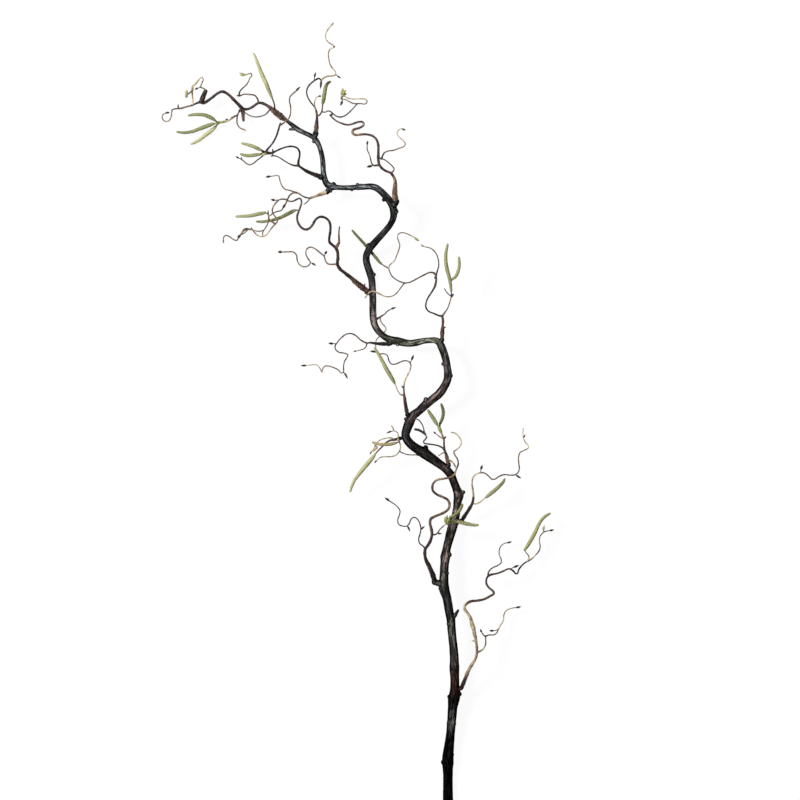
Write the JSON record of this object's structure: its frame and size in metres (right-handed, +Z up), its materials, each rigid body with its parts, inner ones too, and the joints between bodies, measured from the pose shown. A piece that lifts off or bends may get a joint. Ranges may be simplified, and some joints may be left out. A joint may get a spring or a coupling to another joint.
{
  "type": "contorted hazel branch",
  "caption": "Cut ornamental branch with a crooked woody stem, curling twigs, buds and hanging catkins, lying flat",
  "frame": {"origin": "on the flat underside of the stem near its cut foot, where the branch rests on the surface", "axes": "+Y along the branch from the cut foot towards the tip, +Z up from the surface it lies on"},
  "size_m": [0.4908, 0.9847, 0.0705],
  "materials": {
    "stem_bark": "dark rough bark",
    "twig_bark": "dark brown bark",
    "tan_twig_bark": "light tan bark",
    "catkin": "soft scaly yellow-green",
    "leaf_bud": "soft matte olive"
  },
  "bodies": {
    "root": {"main_stem": "stem_bark", "leader_spray": "twig_bark", "spray_low_right": "twig_bark", "spray_low_left": "twig_bark", "spray_mid_right": "twig_bark", "spray_middle": "twig_bark", "spray_left_cluster": "twig_bark", "spray_mid_left": "twig_bark", "spray_right_loops": "twig_bark", "spray_far_left_low": "twig_bark", "spray_left_coil": "twig_bark", "spray_short_left": "twig_bark", "spray_upper_right": "tan_twig_bark", "spray_tan_left": "tan_twig_bark", "spray_upper_left": "twig_bark", "spray_top": "twig_bark", "catkin_top": "catkin", "catkin_far_left_upper": "catkin", "catkin_far_left_middle": "catkin", "catkin_far_left_lower": "catkin", "catkin_left_upper": "catkin", "catkin_left_lower": "catkin", "catkin_beside_top": "catkin", "catkin_coil_upper": "catkin", "catkin_coil_lower": "catkin", "catkin_behind_stem": "catkin", "catkin_pair_right": "catkin", "catkin_mid_left": "catkin", "catkin_middle_upper": "catkin", "catkin_middle_lower": "catkin", "catkin_left_cluster": "catkin", "catkin_left_drooping": "catkin", "catkin_mid_right": "catkin", "catkin_low_right": "catkin", "catkin_front_upper": "catkin", "catkin_front_lower": "catkin", "leaf_bud_top": "leaf_bud", "leaf_bud_far_left": "leaf_bud", "leaf_bud_pale": "leaf_bud"}
  },
  "joints": []
}
